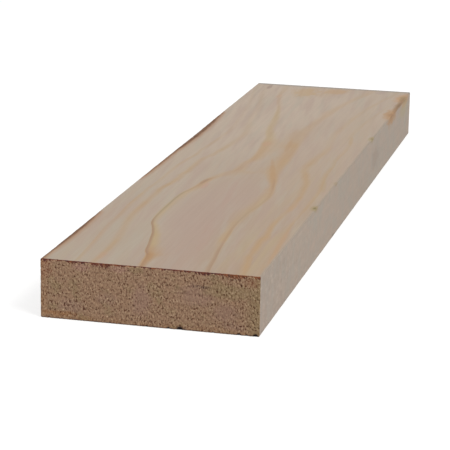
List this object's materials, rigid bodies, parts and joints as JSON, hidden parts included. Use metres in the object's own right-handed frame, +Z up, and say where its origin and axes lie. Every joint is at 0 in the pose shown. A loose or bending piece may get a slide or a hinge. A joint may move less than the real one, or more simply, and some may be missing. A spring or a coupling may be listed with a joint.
{
  "type": "timber lumber plank",
  "caption": "Short length of planed softwood board with a rectangular section, square sawn ends and sharp arrises, for framing, shelving or blocking.",
  "frame": {"origin": "middle of the underside, which is one wide face", "axes": "+Y along the grain and the length, X across the width, +Z up through the thickness"},
  "size_m": [0.14, 0.61, 0.038],
  "materials": {
    "timber": "planed, ends sawn"
  },
  "bodies": {
    "root": {"plank": "timber"}
  },
  "joints": []
}
